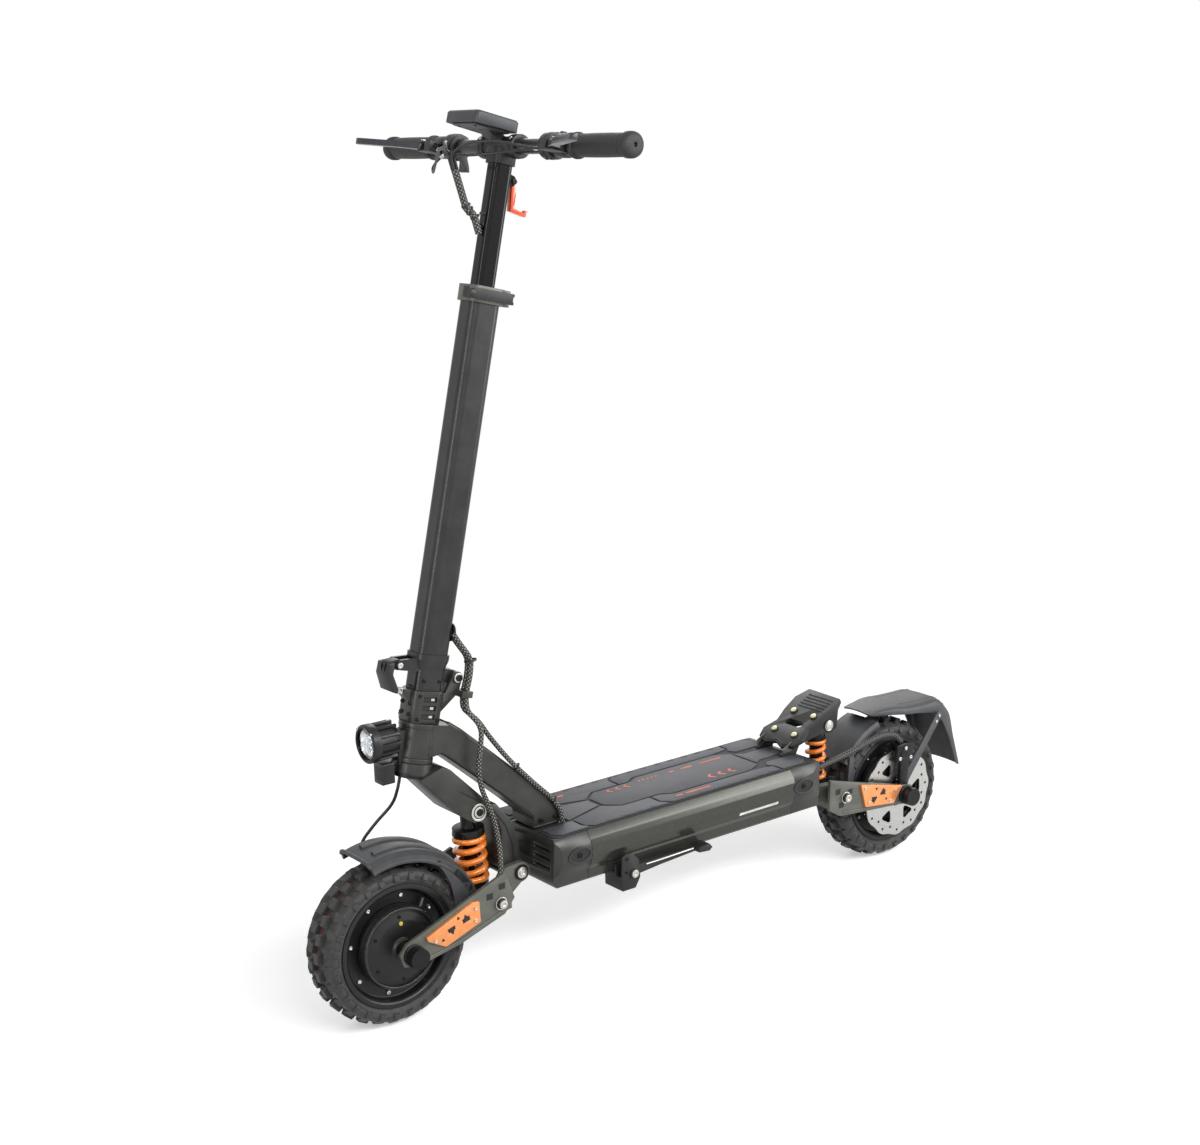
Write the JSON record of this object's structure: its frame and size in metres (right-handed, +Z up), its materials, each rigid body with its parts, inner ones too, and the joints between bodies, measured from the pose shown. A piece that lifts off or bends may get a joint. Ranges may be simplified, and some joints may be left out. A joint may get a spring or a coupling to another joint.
{
  "type": "electric kick scooter",
  "caption": "Folding electric kick scooter with a telescoping stem, sprung swing arms, hub motor wheels, disc brakes and a flat deck",
  "frame": {"origin": "on the ground at the centre of the bounding box's base", "axes": "+X forward, +Y the rider's left, +Z up"},
  "size_m": [1.3395, 0.622, 1.3417],
  "materials": {
    "frame_coat": "satin dark grey powder coat",
    "cast_black": "satin black cast aluminium",
    "arm_coat": "satin grey powder coat",
    "orange_anodised": "anodised orange",
    "orange_spring": "gloss orange powder coat",
    "hook_red": "gloss orange-red coat",
    "steel": "zinc plated",
    "disc_steel": "ground steel",
    "black_steel": "black oxide",
    "hub_black": "satin black",
    "fender_plastic": "matt dark grey",
    "black_plastic": "matt black",
    "grip_rubber": "matt black rubber",
    "mat_rubber": "grooved dark mat",
    "tyre": "black tyre rubber",
    "lens": "clear lens",
    "cable_black": "black sheath",
    "pack_wrap": "shrink wrap",
    "gloss_black_tube": "gloss black anodised"
  },
  "bodies": {
    "frame": {"frame_neck": "frame_coat", "headset_bearings": "steel", "deck_shell": "frame_coat", "deck_front_cap": "cast_black", "deck_rear_cap": "cast_black", "deck_mat": "mat_rubber", "battery_pack": "pack_wrap", "controller": "black_plastic", "footrest": "cast_black", "frame_bolts": "steel", "headlight_housing": "hub_black", "headlight_lens": "lens", "horn": "black_plastic", "kickstand_bracket": "cast_black", "frame_loom": "cable_black", "rear_conduit": "cable_black"},
    "fork": {"fork": "frame_coat", "fold_base": "frame_coat", "fork_bolts": "steel", "front_looms": "cable_black"},
    "front_arm": {"front_arm": "arm_coat", "front_arm_covers": "orange_anodised", "front_motor_core": "black_steel", "front_fender": "fender_plastic", "front_caliper": "black_steel"},
    "front_wheel": {"front_tyre": "tyre", "front_hub_motor": "hub_black", "front_disc": "disc_steel"},
    "front_damper_body": {"front_damper_body": "black_steel", "front_spring": "orange_spring"},
    "front_damper_rod": {"front_damper_rod": "black_steel"},
    "rear_arm": {"rear_arm": "arm_coat", "rear_arm_covers": "orange_anodised", "rear_motor_core": "black_steel", "rear_fender": "fender_plastic", "rear_caliper": "black_steel"},
    "rear_wheel": {"rear_tyre": "tyre", "rear_hub_motor": "hub_black", "rear_disc": "disc_steel"},
    "rear_damper_body": {"rear_damper_body": "black_steel", "rear_spring": "orange_spring"},
    "rear_damper_rod": {"rear_damper_rod": "black_steel"},
    "stem": {"stem_tube": "frame_coat", "stem_collar": "cast_black", "stem_loom": "cable_black"},
    "fold_latch": {"fold_latch": "cast_black"},
    "clamp_lever": {"clamp_lever": "cast_black"},
    "handlebar": {"inner_tube": "gloss_black_tube", "bar_clamp": "cast_black", "handlebar": "gloss_black_tube", "grips": "grip_rubber", "bar_controls": "black_plastic", "display": "black_plastic", "bar_cables": "cable_black"},
    "brake_lever_left": {"brake_lever_left": "black_steel"},
    "brake_lever_right": {"brake_lever_right": "black_steel"},
    "throttle": {"throttle": "black_plastic"},
    "switch_button": {"switch_button": "black_plastic"},
    "carry_hook": {"carry_hook": "hook_red"},
    "kickstand": {"kickstand": "cast_black"}
  },
  "joints": [
    {"name": "steering", "type": "hinge", "parent": "frame", "child": "fork", "pos_m": [0.47945, 0, 0.4], "axis": [-0.2267, 0, 0.974], "range_deg": [-40, 40], "deforming": ["frame_loom"]},
    {"name": "front_arm_swing", "type": "hinge", "parent": "fork", "child": "front_arm", "pos_m": [0.325, 0, 0.192], "axis": [0, -1, 0], "range_deg": [0, 10], "stiffness_Nm_per_rad": 70, "springref_deg": -51.57, "deforming": ["front_looms"]},
    {"name": "front_wheel_spin", "type": "hinge", "parent": "front_arm", "child": "front_wheel", "pos_m": [0.542, 0, 0.1275], "axis": [0, 1, 0], "continuous": true},
    {"name": "front_damper_swing", "type": "hinge", "parent": "fork", "child": "front_damper_body", "pos_m": [0.39, 0, 0.303], "axis": [0, -1, 0], "range_deg": [-0.5, 1.77]},
    {"name": "front_damper_stroke", "type": "slide", "parent": "front_damper_body", "child": "front_damper_rod", "axis": [0.0507, 0, 0.9987], "range_m": [0, 0.01102], "deforming": ["front_spring"]},
    {"name": "rear_arm_swing", "type": "hinge", "parent": "frame", "child": "rear_arm", "pos_m": [-0.298, 0, 0.165], "axis": [0, 1, 0], "range_deg": [0, 9], "stiffness_Nm_per_rad": 90, "springref_deg": -63.03, "deforming": ["rear_conduit"]},
    {"name": "rear_wheel_spin", "type": "hinge", "parent": "rear_arm", "child": "rear_wheel", "pos_m": [-0.498, 0, 0.1275], "axis": [0, 1, 0], "continuous": true},
    {"name": "rear_damper_swing", "type": "hinge", "parent": "frame", "child": "rear_damper_body", "pos_m": [-0.347, 0, 0.28], "axis": [0, -1, 0], "range_deg": [-0.57, 0.5]},
    {"name": "rear_damper_stroke", "type": "slide", "parent": "rear_damper_body", "child": "rear_damper_rod", "axis": [0.0082, 0, 1], "range_m": [0, 0.0083], "deforming": ["rear_spring"]},
    {"name": "stem_fold", "type": "hinge", "parent": "fork", "child": "stem", "pos_m": [0.40697, 0, 0.51599], "axis": [0, -1, 0], "range_deg": [0, 85], "deforming": ["stem_loom"]},
    {"name": "fold_latch_turn", "type": "hinge", "parent": "stem", "child": "fold_latch", "pos_m": [0.50158, 0, 0.55197], "axis": [0, -1, 0], "range_deg": [0, 60]},
    {"name": "clamp_lever_turn", "type": "hinge", "parent": "stem", "child": "clamp_lever", "pos_m": [0.28664, 0.022, 1.06973], "axis": [-0.2267, 0, 0.974], "range_deg": [0, 120]},
    {"name": "bar_height", "type": "slide", "parent": "stem", "child": "handlebar", "axis": [-0.2267, 0, 0.974], "range_m": [-0.07, 0]},
    {"name": "brake_lever_left_pull", "type": "hinge", "parent": "handlebar", "child": "brake_lever_left", "pos_m": [0.30196, 0.168, 1.29507], "axis": [-0.2267, 0, 0.974], "range_deg": [0, 14], "stiffness_Nm_per_rad": 1.5, "springref_deg": -5.73},
    {"name": "brake_lever_right_pull", "type": "hinge", "parent": "handlebar", "child": "brake_lever_right", "pos_m": [0.30196, -0.168, 1.29507], "axis": [0.2267, 0, -0.974], "range_deg": [0, 14], "stiffness_Nm_per_rad": 1.5, "springref_deg": -5.73},
    {"name": "throttle_push", "type": "hinge", "parent": "handlebar", "child": "throttle", "pos_m": [0.27274, -0.124, 1.28827], "axis": [0, -1, 0], "range_deg": [0, 30], "stiffness_Nm_per_rad": 0.3, "springref_deg": -8.59},
    {"name": "button_press", "type": "slide", "parent": "handlebar", "child": "switch_button", "axis": [0.2267, 0, -0.974], "range_m": [0, 0.0015], "stiffness_N_per_m": 400, "springref_m": -0.0008},
    {"name": "hook_swing", "type": "hinge", "parent": "handlebar", "child": "carry_hook", "pos_m": [0.26028, 0, 1.23814], "axis": [0, 1, 0], "range_deg": [0, 35], "stiffness_Nm_per_rad": 0.2, "springref_deg": -11.46},
    {"name": "kickstand_swing", "type": "hinge", "parent": "frame", "child": "kickstand", "pos_m": [0.153, 0.099, 0.163], "axis": [0, -1, 0], "range_deg": [0, 90]}
  ],
  "couplings": [
    {"joint": "front_damper_swing", "follows": "front_arm_swing", "ratio": 0.14696},
    {"joint": "front_damper_stroke", "follows": "front_arm_swing", "m_per_rad": 0.060844},
    {"joint": "rear_damper_swing", "follows": "rear_arm_swing", "ratio": -0.03037},
    {"joint": "rear_damper_stroke", "follows": "rear_arm_swing", "m_per_rad": 0.050308}
  ]
}
